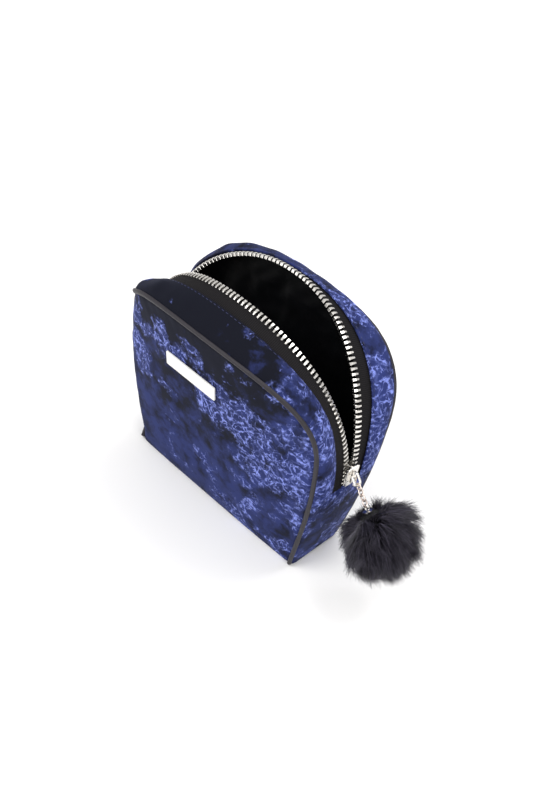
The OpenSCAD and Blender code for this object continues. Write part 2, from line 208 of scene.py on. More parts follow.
def cloth(name, columns, rows, place, thickness, closed=False):
    """A sewn piece: a grid bent by place(across, along), both from 0 to 1, is its outer face."""
    shell = bmesh.new()
    bmesh.ops.create_grid(shell, x_segments=columns, y_segments=rows, size=0.5)
    uv = shell.loops.layers.uv.new("cloth")
    for face in shell.faces:
        for loop in face.loops:
            loop[uv].uv = (loop.vert.co.x + 0.5, loop.vert.co.y + 0.5)
    for vert in shell.verts:
        vert.co = place(vert.co.x + 0.5, vert.co.y + 0.5)
    if closed:
        bmesh.ops.remove_doubles(shell, verts=shell.verts, dist=1e-6)
    bmesh.ops.recalc_face_normals(shell, faces=shell.faces)
    if sum(f.calc_area() * f.normal.dot(f.calc_center_median() - AIM) for f in shell.faces) < 0:
        bmesh.ops.reverse_faces(shell, faces=shell.faces)
    bmesh.ops.solidify(shell, geom=shell.faces[:], thickness=thickness)
    bmesh.ops.recalc_face_normals(shell, faces=shell.faces)
    made = bpy.data.objects.new(name, bpy.data.meshes.new(name))
    shell.to_mesh(made.data)
    shell.free()
    made.data.shade_smooth()
    bpy.context.scene.collection.objects.link(made)
    return made


def panel(name, side):
    """Outer velvet of one panel. Rows: turned-under foot, straight sides, round corners."""
    foot_share, side_share = 0.05, 0.42
    last_angle = math.radians(87)
    foot_r = 2.4 * MM
    tuck = 0.7 * MM
    seed = 0.3 * side

    def place(across, along):
        across = 2 * across - 1
        under = 0
        if along < foot_share:
            under = 1 - along / foot_share
            half, z = edge_side(0)
        elif along < foot_share + side_share:
            half, z = edge_side((along - foot_share) / side_share)
        else:
            half, z = edge_corner((along - foot_share - side_share) / (1 - foot_share - side_share)
                                  * last_angle)
        half -= tuck
        if along >= foot_share + side_share:
            z -= tuck * (z - CORNER_Z) / (PANEL_H - CORNER_Z)
        x = across * half
        clear = max(edge_clear(x, z), 0)
        turn = math.atan2(z - 60 * MM, x)
        pucker = 0.45 * MM * math.exp(-clear / (7 * MM)) * wavy(turn * 80 * MM, clear * 0.4, seed,
                                                                5 * MM)
        seam = 1.3 * MM * max(0, 1 - clear / (4 * MM)) ** 2
        depth = panel_depth(x, z) - seam - curled(x, z) + dented(x, z, side)
        depth += pucker * min(1, z / (20 * MM))
        if under:
            quarter = under * math.pi / 2
            depth -= foot_r * (1 - math.cos(quarter)) + 2 * MM * max(0, under - 0.5)
            z = FOOT_Z + 0.9 * MM - (FOOT_Z + 0.8 * MM) * math.sin(quarter)
        elif z < FOOT_Z + 3 * MM:
            z = z + 0.9 * MM * (1 - (z - FOOT_Z) / (3 * MM))
        return Vector((x, side * depth, z))

    return cloth(name, 120, 130, place, VELVET_T)


# Crushed polyester velvet. The pile's lean is frozen in patches some centimetres wide, and inside
# them in wrinkles a few millimetres apart; it has a soft sheen at grazing angles. The light these
# catch is painted into the colour: pale blue highlight lines in the wrinkles, a bluer painted sheen
# over the patches, and painted sheen and shade from dark navy to slate over each piece.
CRUSH_AND_PAINTED_LIGHT_SPOTS = (
    # middle of a spot in millimetres, its reach, how much more crushed it is, how much painted sheen
    # lightens it (below zero, how much painted shade darkens it)
    ((-70, -35, 122), 22, 1.0, 0.1), ((-66, -30, 84), 18, 0.5, 0.2), ((2, -44, 100), 22, 0.7, -0.5),
    ((30, -42, 94), 22, 0.9, -0.4), ((52, -36, 74), 20, 0.7, -0.1), ((70, -28, 88), 14, 0.7, 0),
    ((-34, -43, 122), 20, 0.6, -0.3), ((20, -44, 128), 26, -0.5, -0.7), ((-30, -36, 70), 30, -0.3, -0.2),
    ((0, -28, 26), 44, -0.3, 0.55), ((-45, -25, 28), 30, -0.2, 0.5), ((48, -26, 30), 26, 0.1, 0.45),
    ((-50, -30, 152), 32, -1.2, -1.8), ((0, -35, 158), 26, -0.9, -1.5), ((48, -24, 142), 20, 0.3, 0),
    ((72, -18, 112), 24, 0.5, 0.4), ((76, -12, 80), 18, 0.4, 0.5), ((66, 33, 116), 34, 0.6, 0.6),
    ((78, 20, 80), 24, 0.6, 0.5), ((0, 40, 156), 30, 0.1, 0.2), ((0, 42, 90), 50, 0.2, 0.1),
)


def store_crush_and_painted_light(piece):
    """Stores how crushed the pile is at each point, and its painted sheen and shade, for the velvet to
    read.
    """
    places = np.empty(len(piece.data.vertices) * 3)
    piece.data.vertices.foreach_get("co", places)
    places = places.reshape(-1, 3) / MM
    for name, column in (("crush", 2), ("painted_sheen_and_shade", 3)):
        total = np.zeros(len(places))
        for spot in CRUSH_AND_PAINTED_LIGHT_SPOTS:
            total += spot[column] * np.exp(-((places - spot[0]) ** 2).sum(1) / spot[1] ** 2)
        layer = piece.data.attributes.new(name, "FLOAT", "POINT")
        layer.data.foreach_set("value", total.astype(np.float32))


def in_mm(tree, stretch=(1, 1, 1)):
    """The piece's own place in millimetres."""
    place = add(tree, "TexCoord", output="Object")
    scale = [s / MM for s in stretch]
    return add(tree, "Mapping", {"Vector": place, "Scale": scale})


def bent(tree, place, size, reach):
    """Place pushed about by noise of that size, by up to about half of reach."""
    push = add(tree, "TexNoise", {"Vector": place, "Scale": 1 / size, "Detail": 3}, output="Color")
    centred = add(tree, "VectorMath", {0: push, 1: (0.5, 0.5, 0.5)}, operation="SUBTRACT")
    scaled = add(tree, "VectorMath", {0: centred, "Scale": reach}, operation="SCALE")
    return add(tree, "VectorMath", {0: place, 1: scaled})


tree, shader, VELVET = material("crushed_polyester_velvet")
place = in_mm(tree)
crush = add(tree, "Attribute", attribute_name="crush", output="Fac")
drift = add(tree, "TexNoise", {"Vector": bent(tree, place, 18, 14), "Scale": 1 / 21, "Detail": 5,
                               "Roughness": 0.62})
# Painted sheen (above zero) and painted shade (below zero), spread from the listed spots.
painted_sheen_and_shade = add(tree, "Attribute", attribute_name="painted_sheen_and_shade", output="Fac")
level = add(tree, "Math", {0: crush, 1: 0.17, 2: drift}, operation="MULTIPLY_ADD")
patch = add(tree, "MapRange", {"Value": level, "From Min": 0.5, "From Max": 0.6},
            interpolation_type="SMOOTHSTEP")
wrinkle_place = bent(tree, bent(tree, place, 9, 10), 3, 2)
ridge = add(tree, "TexNoise", {"Vector": wrinkle_place, "Scale": 1 / 5.5, "Detail": 3,
                               "Roughness": 0.55})
ridge = add(tree, "Math", {0: add(tree, "Math", {0: ridge, 1: 0.5}, operation="SUBTRACT"), 1: 0},
            operation="ABSOLUTE")
ridge = add(tree, "MapRange", {"Value": ridge, "From Min": 0.042, "From Max": 0.0},
            interpolation_type="SMOOTHSTEP")
web = add(tree, "TexVoronoi", {"Vector": wrinkle_place, "Scale": 1 / 7}, feature="DISTANCE_TO_EDGE")
web = add(tree, "MapRange", {"Value": web, "From Min": 0.11, "From Max": 0.0},
          interpolation_type="SMOOTHSTEP")
glint = add(tree, "TexNoise", {"Vector": place, "Scale": 1 / 2.8, "Detail": 3})
glint = add(tree, "MapRange", {"Value": glint, "From Min": 0.42, "From Max": 0.6},
            interpolation_type="SMOOTHSTEP")
highlight_lines = add(tree, "Math", {0: add(tree, "Math", {0: ridge, 1: web}, operation="MAXIMUM"),
                           1: add(tree, "MapRange", {"Value": glint, "To Min": 0.15, "To Max": 1.0})},
            operation="MULTIPLY")
highlight_lines = add(tree, "Math", {0: highlight_lines, 1: patch}, operation="MULTIPLY")
shade = add(tree, "TexNoise", {"Vector": bent(tree, place, 7, 8), "Scale": 1 / 11, "Detail": 5,
                               "Roughness": 0.6})
# The base tone, dark navy to slate, is painted sheen and shade: the spots' painted sheen and shade plus
# noise.
soft = add(tree, "Math", {0: painted_sheen_and_shade, 1: 0.2, 2: shade}, operation="MULTIPLY_ADD")
colour = add(tree, "Mix", {0: add(tree, "MapRange", {"Value": soft, "From Min": 0.36, "From Max": 0.7},
                                  interpolation_type="SMOOTHSTEP"), 6: linear("#050714"),
                           7: linear("#252e5e")}, output=2, data_type="RGBA")
# Painted sheen: the crushed patches are coloured a bluer slate where their pile catches the light.
colour = add(tree, "Mix", {0: add(tree, "Math", {0: patch, 1: 0.45}, operation="MULTIPLY"), 6: colour,
                           7: linear("#2a3570")}, output=2, data_type="RGBA")
# Painted highlights: the wrinkle lines in the crushed patches are coloured pale blue where they catch
# the light.
colour = add(tree, "Mix", {0: highlight_lines, 6: colour, 7: linear("#808edc")}, output=2, data_type="RGBA")
pile = add(tree, "TexNoise", {"Vector": place, "Scale": 1 / 0.45, "Detail": 2})
height = add(tree, "Math", {0: pile, 1: 0.12, 2: highlight_lines}, operation="MULTIPLY_ADD")
height = add(tree, "Math", {0: patch, 1: 0.8, 2: height}, operation="MULTIPLY_ADD")
relief = add(tree, "Bump", {"Height": height, "Strength": 0.8, "Distance": 0.4 * MM})
tree.links.new(colour, shader.inputs["Base Color"])
tree.links.new(relief, shader.inputs["Normal"])
tree.links.new(add(tree, "MapRange", {"Value": highlight_lines, "To Min": 0.8, "To Max": 0.5}),
               shader.inputs["Roughness"])
shader.inputs["Specular IOR Level"].default_value = 0.15
shader.inputs["Sheen Weight"].default_value = 0.07
shader.inputs["Sheen Roughness"].default_value = 0.4
shader.inputs["Sheen Tint"].default_value = linear("#8f9be0")


def lean(piece):
    """Bakes the piece's placement into its mesh."""
    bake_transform(piece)


for side, half in ((FRONT, "front"), (BACK, "back")):
    velvet = panel(half + "_velvet", side)
    velvet.data.materials.append(VELVET)
    store_crush_and_painted_light(velvet)
    lean(velvet)
    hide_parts(half + "_panel")


# ---- Foam and lining of the panels
# Thin polyether foam under the velvet, matt and open-celled, and a bag of black polyester satin
# inside it, faintly glossy, that hangs a little loose and so folds softly.
tree, shader, FOAM = material("polyether_foam")
cells = add(tree, "TexVoronoi", {"Vector": in_mm(tree), "Scale": 1 / 0.8})
colour = add(tree, "Mix", {0: cells, 6: linear("#1f1f24"), 7: linear("#3a3a42")}, output=2,
             data_type="RGBA")
tree.links.new(colour, shader.inputs["Base Color"])
shader.inputs["Roughness"].default_value = 0.95

tree, shader, SATIN = material("polyester_satin_lining")
place = in_mm(tree)
faint = add(tree, "TexNoise", {"Vector": place, "Scale": 1 / 12, "Detail": 3})
colour = add(tree, "Mix", {0: faint, 6: linear("#020203"), 7: linear("#09090c")}, output=2,
             data_type="RGBA")
weave = add(tree, "TexNoise", {"Vector": in_mm(tree, (1, 1, 0.12)), "Scale": 1 / 0.5})
relief = add(tree, "Bump", {"Height": weave, "Strength": 0.25, "Distance": 0.1 * MM})
tree.links.new(colour, shader.inputs["Base Color"])
tree.links.new(relief, shader.inputs["Normal"])
shader.inputs["Roughness"].default_value = 0.42
shader.inputs["Specular IOR Level"].default_value = 0.2

FOAM_T = 1.6 * MM
LINING_T = 0.5 * MM
LAYER_GAP = 0.3 * MM


def inner_layer(name, side, depth, thickness, looseness):
    """A layer behind the velvet, its outer face at a depth under the panel's."""
    last_angle = math.radians(86)
    side_share = 0.45
    seed = 2 + side

    def place(across, along):
        across = 2 * across - 1
        if along < side_share:
            half, z = edge_side(along / side_share)
        else:
            half, z = edge_corner((along - side_share) / (1 - side_share) * last_angle)
        half -= 1.6 * MM
        z = FOOT_Z + 2.4 * MM + (z - FOOT_Z) * (1 - 4.4 * MM / PANEL_H)
        x = across * half
        loose = min(1, max(edge_clear(x, z), 0) / (14 * MM)) * min(1, z / (20 * MM))
        fold = 1.1 + wavy(x, seed, z * 0.45, 17 * MM) + 0.5 * wavy(x, seed + 1, z, 8 * MM)
        sag = 1.5 * MM * looseness * loose * max(fold, 0)
        face = panel_depth(x, z) - curled(x, z) + dented(x, z, side)
        return Vector((x, side * (face - depth - sag), z))

    return cloth(name, 80, 80, place, thickness)


for side, half in ((FRONT, "front"), (BACK, "back")):
    foam = inner_layer(half + "_interlining", side, VELVET_T + LAYER_GAP, FOAM_T, 0)
    foam.data.materials.append(FOAM)
    satin = inner_layer(half + "_satin", side, VELVET_T + FOAM_T + 2 * LAYER_GAP, LINING_T, 1)
    satin.data.materials.append(SATIN)
    for piece, node, slot, held in ((foam, "_foam", "foam", "stretched"),
                                    (satin, "_lining", "lining", "hung")):
        lean(piece)
        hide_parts(half + node)


# ---- Zip halves
# Each half of the top is a velvet strip between the panel's piping and the zip, its inner edge
# folded over and sewn down along the zip tape.
ZIP_HALF_W = sum(p.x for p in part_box("zip_bottom_stop")) / 2
ZIP_END_Z = 67 * MM
ZIP_RISE = 15.5 * MM
ZIP_POWER = 2.16
MOUTH_HALF = 21.5 * MM
ZIP_CENTRE = 3.2 * MM
SEAM_DROP = 6 * MM
TOOTH_LEN = 4 * MM
TAPE_SHOW = 7 * MM


def even(points):
    """A function of 0 to 1 that runs along a line of points at an even speed."""
    points = np.array(points, float)
    run = np.concatenate([[0], np.cumsum(np.linalg.norm(np.diff(points, axis=0), axis=1))])

    @lru_cache(maxsize=None)
    def at(share):
        return Vector([np.interp(share * run[-1], run, points[:, axis]) for axis in range(3)])

    return at, run[-1]


def both_sides(right):
    """A line from the right up to the middle, carried on down the left as its mirror image."""
    return right + [(-x, y, z) for x, y, z in reversed(right[:-1])]


def zip_place(angle):
    rise = math.sin(angle) ** (2 / ZIP_POWER)
    return (ZIP_HALF_W * max(math.cos(angle), 0) ** (2 / ZIP_POWER),
            -(ZIP_CENTRE + (MOUTH_HALF - ZIP_CENTRE) * rise ** 2),
            ZIP_END_Z + (PANEL_H + ZIP_RISE - ZIP_END_Z) * rise)


def on_edge(x, z):
    return (x, -panel_depth(x, z), z)


def rolled(line):
    return [(x, y + roll(x, z), z) for x, y, z in line]


seam_k = (ZIP_END_Z - SEAM_DROP - FOOT_Z) / (CORNER_Z - FOOT_Z)
quarter = [math.pi / 2 * i / 90 for i in range(91)]
piped_edge, _ = even(rolled(both_sides(
    [on_edge(*edge_side(seam_k + (1 - seam_k) * i / 24)) for i in range(24)]
    + [on_edge(*edge_corner(a)) for a in quarter])))
zip_line, ZIP_LEN = even(both_sides([zip_place(a) for a in quarter]))


@lru_cache(maxsize=None)
def strip_frame(along):
    """Where the front zip half starts at its teeth, the way across it, its outward normal and width."""
    step = 0.004
    teeth, edge = zip_line(along), piped_edge(along)
    before, after = max(along - step, 0), min(along + step, 1)
    way = zip_line(after) - zip_line(before) + piped_edge(after) - piped_edge(before)
    return teeth, (edge - teeth).normalized(), way.cross(edge - teeth).normalized(), (edge
                                                                                      - teeth).length


def zip_velvet(name, side):
    """Crosswise the strip starts under its folded edge, goes round the fold and on to the piping."""
    fold_r = 0.75 * MM
    fold_at = TOOTH_LEN / 2 + TAPE_SHOW + fold_r
    fold_h = 0.6 * MM + fold_r
    fold_share, turn_share = 0.05, 0.2
    under = 3 * MM

    def place(across, along):
        start, out, normal, width = strip_frame(round(along, 6))
        far = width - 0.5 * MM
        if across < fold_share:
            distance, height = fold_at + under * (1 - across / fold_share), fold_h - fold_r
        elif across < turn_share:
            angle = (across - fold_share) / (turn_share - fold_share) * math.pi - math.pi / 2
            distance, height = fold_at - fold_r * math.cos(angle), fold_h + fold_r * math.sin(angle)
        else:
            share = (across - turn_share) / (1 - turn_share)
            distance = fold_at + (far - fold_at) * share
            end = min(along, 1 - along)
            crest = 1.2 * MM * math.sin(math.pi * min(share, 1)) * min(1, width / (15 * MM))
            spot = start + out * distance
            limp = 0.7 + 2.2 * max(0, 1 - abs(along - 0.76) / 0.14)
            crease = 0.8 * MM * limp * wavy(along * ZIP_LEN, side, distance * 0.35, 13 * MM)
            fine = 0.3 * MM * wavy(spot.x, spot.z, side * 3, 7 * MM)
            clear = far - distance
            seam = 1.2 * MM * max(0, 1 - clear / (4 * MM)) ** 2
            shaped = min(1, share * 4) * min(1, clear / (5 * MM))
            ends = 1.0 * MM * max(0, 1 - end * ZIP_LEN / (4 * MM)) ** 2
            height = fold_h + fold_r + crest + (crease + fine) * shaped - seam - ends
        spot = start + out * distance + normal * height
        return Vector((spot.x, -side * spot.y, spot.z))

    return cloth(name, 44, 260, place, 0.5 * MM)


def zip_lining(name, side):
    def place(across, along):
        start, out, normal, width = strip_frame(round(along, 6))
        first, last = TOOTH_LEN / 2 + TAPE_SHOW, width - 0.9 * MM
        slack = 0.5 * MM * math.sin(math.pi * across) * (1 + wavy(along * ZIP_LEN, side, across / 90,
                                                                  9 * MM))
        spot = start + out * (first + (last - first) * across) - normal * (0.65 * MM + slack)
        return Vector((spot.x, -side * spot.y, spot.z))

    return cloth(name, 10, 160, place, 0.4 * MM)


for side, half in ((FRONT, "front"), (BACK, "back")):
    strip = zip_velvet(half + "_zip_velvet", side)
    strip.data.materials.append(VELVET)
    store_crush_and_painted_light(strip)
    strip_lining = zip_lining(half + "_zip_satin", side)
    strip_lining.data.materials.append(SATIN)
    for piece, node, finish in ((strip, "_zip_gusset", "velvet"),
                                (strip_lining, "_gusset_lining", "lining")):
        lean(piece)
        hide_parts(half + node)


# ---- Topstitch
# Navy polyester thread, a lockstitch about eight to the inch, close to each folded edge.
tree, shader, THREAD = material("polyester_thread")
ply = add(tree, "TexWave", {"Vector": in_mm(tree), "Scale": 1.2, "Distortion": 1},
          bands_direction="DIAGONAL", output="Fac")
tree.links.new(add(tree, "Mix", {0: ply, 6: linear("#0c1130"), 7: linear("#222b5c")}, output=2,
                   data_type="RGBA"), shader.inputs["Base Color"])
shader.inputs["Roughness"].default_value = 0.5
STITCH_LEN, STITCH_R, STITCH_PITCH = 2.3 * MM, 0.22 * MM, 3.1 * MM
STITCH_IN = 1.1 * MM


def zip_frame(along, distance=0, height=0):
    """A frame on the front zip half: x along the zip, y to the mouth, z outwards."""
    start, out, normal, _ = strip_frame(round(along, 6))
    inward = (-out - normal * (-out).dot(normal)).normalized()
    turned = Matrix((inward.cross(normal), inward, normal)).transposed().to_4x4()
    return Matrix.Translation(start + out * distance + normal * height) @ turned


def row(name, shape, places):
    """One piece made of a copy of a shape at each place along the zip."""
    shell = bmesh.new()
    for at in places:
        copy = shape.copy()
        copy.transform(at)
        shell.from_mesh(copy)
        bpy.data.meshes.remove(copy)
    bmesh.ops.recalc_face_normals(shell, faces=shell.faces)
    made = bpy.data.objects.new(name, bpy.data.meshes.new(name))
    shell.to_mesh(made.data)
    shell.free()
    bpy.context.scene.collection.objects.link(made)
    return made


MIRROR = {FRONT: Matrix.Identity(4), BACK: Matrix.Scale(-1, 4, (0, 1, 0))}
shell = bmesh.new()
bmesh.ops.create_uvsphere(shell, u_segments=6, v_segments=5, radius=1,
                          matrix=Matrix.Diagonal((STITCH_LEN / 2, STITCH_R, STITCH_R, 1)))
stitch = bpy.data.meshes.new("stitch")
shell.to_mesh(stitch)
shell.free()
for side, half in ((FRONT, "front"), (BACK, "back")):
    count = int((ZIP_LEN - 2 * STITCH_PITCH) / STITCH_PITCH)
    spots = [(i + 1.5) * STITCH_PITCH / ZIP_LEN for i in range(count)]
    seam = row(half + "_topstitch", stitch, [MIRROR[side] @ zip_frame(s,
                                                                      TOOTH_LEN / 2 + TAPE_SHOW
                                                                      + STITCH_IN, 2.12
                                                                      * MM) for s in spots])
    seam.data.materials.append(THREAD)
    lean(seam)


# ---- Zip tapes
# Woven polyester tape, ribbed across, with a corded edge that the teeth are crimped over.
tree, shader, TAPE = material("woven_polyester_tape")
strip_uv = add(tree, "UVMap", uv_map="cloth")
RIB = 1.1 * MM  # real ribs are half as wide, and these are as coarse as they need to be to show
ribs = add(tree, "Mapping", {"Vector": strip_uv, "Scale": (14, ZIP_LEN / RIB, 1)})
rib = add(tree, "TexWave", {"Vector": ribs, "Scale": 0.5 / math.pi * 2, "Distortion": 0.4},
          bands_direction="Y", output="Fac")
fuzz = add(tree, "TexNoise", {"Vector": in_mm(tree), "Scale": 1 / 0.6, "Detail": 3})
colour = add(tree, "Mix", {0: rib, 6: linear("#0b0b0c"), 7: linear("#1b191b")}, output=2,
             data_type="RGBA")
colour = add(tree, "Mix", {0: add(tree, "Math", {0: fuzz, 1: 0.4}, operation="MULTIPLY"), 6: colour,
                           7: linear("#232123")}, output=2, data_type="RGBA")
relief = add(tree, "Bump", {"Height": add(tree, "Math", {0: rib, 1: fuzz}, operation="ADD"),
                            "Strength": 0.6, "Distance": 0.2 * MM})
tree.links.new(colour, shader.inputs["Base Color"])
tree.links.new(relief, shader.inputs["Normal"])
shader.inputs["Roughness"].default_value = 0.8
shader.inputs["Specular IOR Level"].default_value = 0.12

TAPE_W = 12 * MM
TAPE_T = 0.8 * MM


def zip_tape(name, side):
    def place(across, along):
        start, out, normal, width = strip_frame(round(along, 6))
        first = 0.75 * MM
        last = min(TOOTH_LEN / 2 + TAPE_W, width - 1.7 * MM)
        distance = first + (last - first) * across ** 1.3
        cord = 0.25 * MM * math.exp(-((distance - 1.3 * MM) / (0.5 * MM)) ** 2)
        spot = start + out * distance + normal * (TAPE_T / 2 - 0.1 * MM + cord)
        return Vector((spot.x, -side * spot.y, spot.z))

    return cloth(name, 14, 240, place, TAPE_T - 0.2 * MM)


for side, half in ((FRONT, "front"), (BACK, "back")):
    tape = zip_tape(half + "_tape", side)
    tape.data.materials.append(TAPE)
    lean(tape)
    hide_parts(half + "_zip_tape")
for node in ("zip_end_tape_right", "zip_end_tape_left"):
    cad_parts[node].data.materials.clear()
    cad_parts[node].data.materials.append(TAPE)


# ---- Teeth and stops
# Teeth stamped from nickel-plated brass, bright and a little dulled by wear: two jaws over the
# tape's cord, a waist and a wider head.
tree, shader, NICKEL = material("nickel_plated_brass")
wear = add(tree, "TexNoise", {"Vector": in_mm(tree), "Scale": 1 / 1.7, "Detail": 4})
colour = add(tree, "Mix", {0: wear, 6: linear("#cfcbc5"), 7: linear("#f2efea")}, output=2,
             data_type="RGBA")
tree.links.new(colour, shader.inputs["Base Color"])
tree.links.new(add(tree, "MapRange", {"Value": wear, "To Min": 0.16, "To Max": 0.36}),
               shader.inputs["Roughness"])
shader.inputs["Metallic"].default_value = 1

TOOTH_H = 3 * MM
TOOTH_T = 1.5 * MM
TOOTH_PITCH = 2.9 * MM
FIRST_TOOTH, LAST_TOOTH = 5 * MM, 8 * MM
TOP_STOP_AT = 4.5 * MM


def tooth_shape(thick):
    """x along the zip, y towards the mouth and z out of the tape."""
    shell = bmesh.new()
    bmesh.ops.create_cube(shell, size=1)
    long_edges = [e for e in shell.edges if abs(e.verts[0].co.y - e.verts[1].co.y) > 0.5]
    bmesh.ops.subdivide_edges(shell, edges=long_edges, cuts=3, use_grid_fill=True)
    sections = {-0.5: (0.7, 0.9), -0.25: (0.8, 1.0), 0: (0.66, 0.9), 0.25: (1.16, 0.8), 0.5: (1.2, 0.6)}
    for vert in shell.verts:
        wide, high = sections[round(vert.co.y * 4) / 4]
        vert.co.x *= wide * thick
        vert.co.y *= TOOTH_LEN
        vert.co.z *= high * TOOTH_H
    sharp = [e for e in shell.edges if e.calc_face_angle(0) > 0.9]
    bmesh.ops.bevel(shell, geom=sharp, offset=0.16 * MM, affect="EDGES", segments=1, profile=0.5,
                    material=-1)
    made = bpy.data.meshes.new("tooth")
    shell.to_mesh(made)
    shell.free()
    return made


count = math.floor((ZIP_LEN - LAST_TOOTH - FIRST_TOOTH) / TOOTH_PITCH)
for side, half, phase in ((FRONT, "front", 0), (BACK, "back", 0.5)):
    spots = [(FIRST_TOOTH + (i + phase) * TOOTH_PITCH) / ZIP_LEN for i in range(count)]
    teeth = row(half + "_zip_teeth", tooth_shape(TOOTH_T), [MIRROR[side] @ zip_frame(s) for s in spots])
    stop = row(half + "_stop", tooth_shape(3 * MM), [MIRROR[side] @ zip_frame(1
                                                                              - TOP_STOP_AT / ZIP_LEN)])
    for piece, node in ((teeth, "_teeth"), (stop, "_top_stop")):
        piece.data.materials.append(NICKEL)
        lean(piece)
        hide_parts(half + node)
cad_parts["zip_bottom_stop"].data.materials.clear()
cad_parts["zip_bottom_stop"].data.materials.append(NICKEL)


# ---- Piping
# Bias-cut satin-faced ribbon folded over a cotton cord and sewn into the seams, so it stands up
# as a flat-looking dark line. The base has its own two lengths.
tree, shader, PIPING = material("bias_cut_satin_ribbon")
place = in_mm(tree)
twill = add(tree, "TexWave", {"Vector": place, "Scale": 0.6, "Distortion": 1.5, "Detail": 2},
            bands_direction="DIAGONAL", output="Fac")
worn = add(tree, "TexNoise", {"Vector": place, "Scale": 1 / 6, "Detail": 3})
colour = add(tree, "Mix", {0: worn, 6: linear("#19171a"), 7: linear("#2a272d")}, output=2,
             data_type="RGBA")
colour = add(tree, "Mix", {0: add(tree, "Math", {0: twill, 1: 0.25}, operation="MULTIPLY"), 6: colour,
                           7: linear("#3b3740")}, output=2, data_type="RGBA")
relief = add(tree, "Bump", {"Height": twill, "Strength": 0.3, "Distance": 0.1 * MM})
tree.links.new(colour, shader.inputs["Base Color"])
tree.links.new(relief, shader.inputs["Normal"])
shader.inputs["Roughness"].default_value = 0.5
shader.inputs["Specular IOR Level"].default_value = 0.3


def piping(name, line, columns=14, rows=260, pinch=0.12):
    """A tube along a line, a little flatter where it goes into the seam and uneven along it."""
    step = 0.5 / rows

    def place(across, along):
        here = line(round(along, 6))
        way = (line(round(min(along + step, 1), 6)) - line(round(max(along - step, 0), 6))).normalized()
        level = way.cross(Vector((0, 1, 0))).normalized()
        inner = level.cross(way)
        angle = 2 * math.pi * across
        radius = (PIPING_R - 0.08 * MM) * (1 - pinch * math.sin(angle) ** 2)
        radius += 0.12 * MM * wavy(along, across * 0.002, here.x * 0.1, 0.012)
        return here + (level * math.cos(angle) + inner * math.sin(angle)) * radius

    return cloth(name, columns, rows, place, 0.4 * MM, closed=True)


edge_line, _ = even(rolled(both_sides([on_edge(*edge_side(i / 30)) for i in range(30)]
                                      + [on_edge(*edge_corner(a)) for a in quarter])))


def mirrored(line):
    return lambda share: Vector((line(share).x, -line(share).y, line(share).z))


for side, half in ((FRONT, "front"), (BACK, "back")):
    ribbon = piping(half + "_piping_ribbon", edge_line if side == FRONT else mirrored(edge_line))
    ribbon.data.materials.append(PIPING)
    lean(ribbon)
    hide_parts(half + "_piping", half + "_piping_cord")

for sign, end in ((1, "right"), (-1, "left")):
    low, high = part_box("base_piping_" + end)
    middle = (low + high) / 2
    shell = bmesh.new()
    bmesh.ops.create_cone(shell, cap_ends=True, segments=16, radius1=PIPING_R, radius2=PIPING_R,
                          depth=high.y - low.y,
                          matrix=Matrix.Translation(middle) @ Matrix.Rotation(math.pi / 2, 4, "X"))
    rims = [e for e in shell.edges if e.calc_face_angle(0) > 1]
    bmesh.ops.bevel(shell, geom=rims, offset=0.4 * MM, affect="EDGES", segments=2, profile=0.5,
                    material=-1)
    ribbon = bpy.data.objects.new("base_ribbon_" + end, bpy.data.meshes.new("base_ribbon_" + end))
    shell.to_mesh(ribbon.data)
    shell.free()
    ribbon.data.shade_smooth()
    bpy.context.scene.collection.objects.link(ribbon)
    ribbon.data.materials.append(PIPING)
    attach(ribbon, "pouch_base")
    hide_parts("base_piping_" + end)


# ---- Side gussets
# A velvet piece on each side from the base up to the zip's end, sewn to the zip halves along a
# seam that sags towards the piping and puckers there.
def side_edge(z):
    share = min(1, max(0, (z - FOOT_Z) / (CORNER_Z - FOOT_Z)))
    return edge_side(share)[0]


def side_piece(name, sign, side, lift, bulge, margin, thickness, seed):
    """Half of a side wall, from the middle plane to one piping; lift is how far out it lies."""
    foot = 1.2 * MM
    seam_foot = ZIP_END_Z - SEAM_DROP
    seam_cover = 0.9 * MM
    pleat_reach = 9 * MM
    seam_reach, seam_dip = 3 * MM, 1 * MM

    def place(across, along):
        full = panel_depth(side_edge(seam_foot), seam_foot) - margin
        guess = foot + (seam_foot - foot) * along
        wall_x = side_edge(guess)
        y = across * (panel_depth(wall_x, guess) - margin - roll(sign * wall_x, guess))
        top = ZIP_END_Z - 1 * MM - SEAM_DROP * max(0, y - ZIP_CENTRE) / (full - ZIP_CENTRE) + seam_cover
        z = foot + (top - foot) * along
        under_seam, off_piping = top - z, (1 - across) * full
        out = side_edge(z) + 1.5 * MM * (z - foot) / (ZIP_END_Z - foot) * (1 - across ** 2)
        near_seam = max(0, 1 - under_seam / pleat_reach)
        near_pipe = max(0, 1 - off_piping / pleat_reach)
        pleat = 0.9 * MM * near_seam * (0.4 + near_pipe) * wavy(y, 0, seed, 2.6 * MM)
        pleat *= min(1, under_seam / (1.5 * MM))
        soft = 0.7 * MM * wavy(y * sign, z, seed, 15 * MM) * math.sin(math.pi * along)
        soft *= 1 - across ** 4
        dip = max(0, 1 - under_seam / seam_reach) ** 2 + max(0, 1 - off_piping / seam_reach) ** 2
        swell = bulge * math.sin(math.pi * along) * (1 - across ** 2)
        return Vector((sign * (out + lift + swell + pleat + soft - seam_dip * dip), side * y, z))

    return cloth(name, 36, 60, place, thickness)


# The left walls are cut narrower, because the panel's edge curls over them.
for sign, end, cut_w in ((1, "right", 27 * MM), (-1, "left", 20 * MM)):
    for side, half in ((FRONT, "front"), (BACK, "back")):
        wall = side_piece(f"side_velvet_{end}_{half}", sign, side, 1.9 * MM, 1.2 * MM, 0.8 * MM,
                          0.9 * MM, sign)
        wall.data.materials.append(VELVET)
        store_crush_and_painted_light(wall)
        inner = side_piece(f"side_satin_{end}_{half}", sign, side, -0.9 * MM, -0.6 * MM, 1.2 * MM,
                           0.4 * MM, 5)
        inner.data.materials.append(SATIN)
        for piece, node, finish in ((wall, "side_gusset_", "velvet"),
                                    (inner, "side_lining_", "lining")):
            lean(piece)
            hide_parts(node + end)


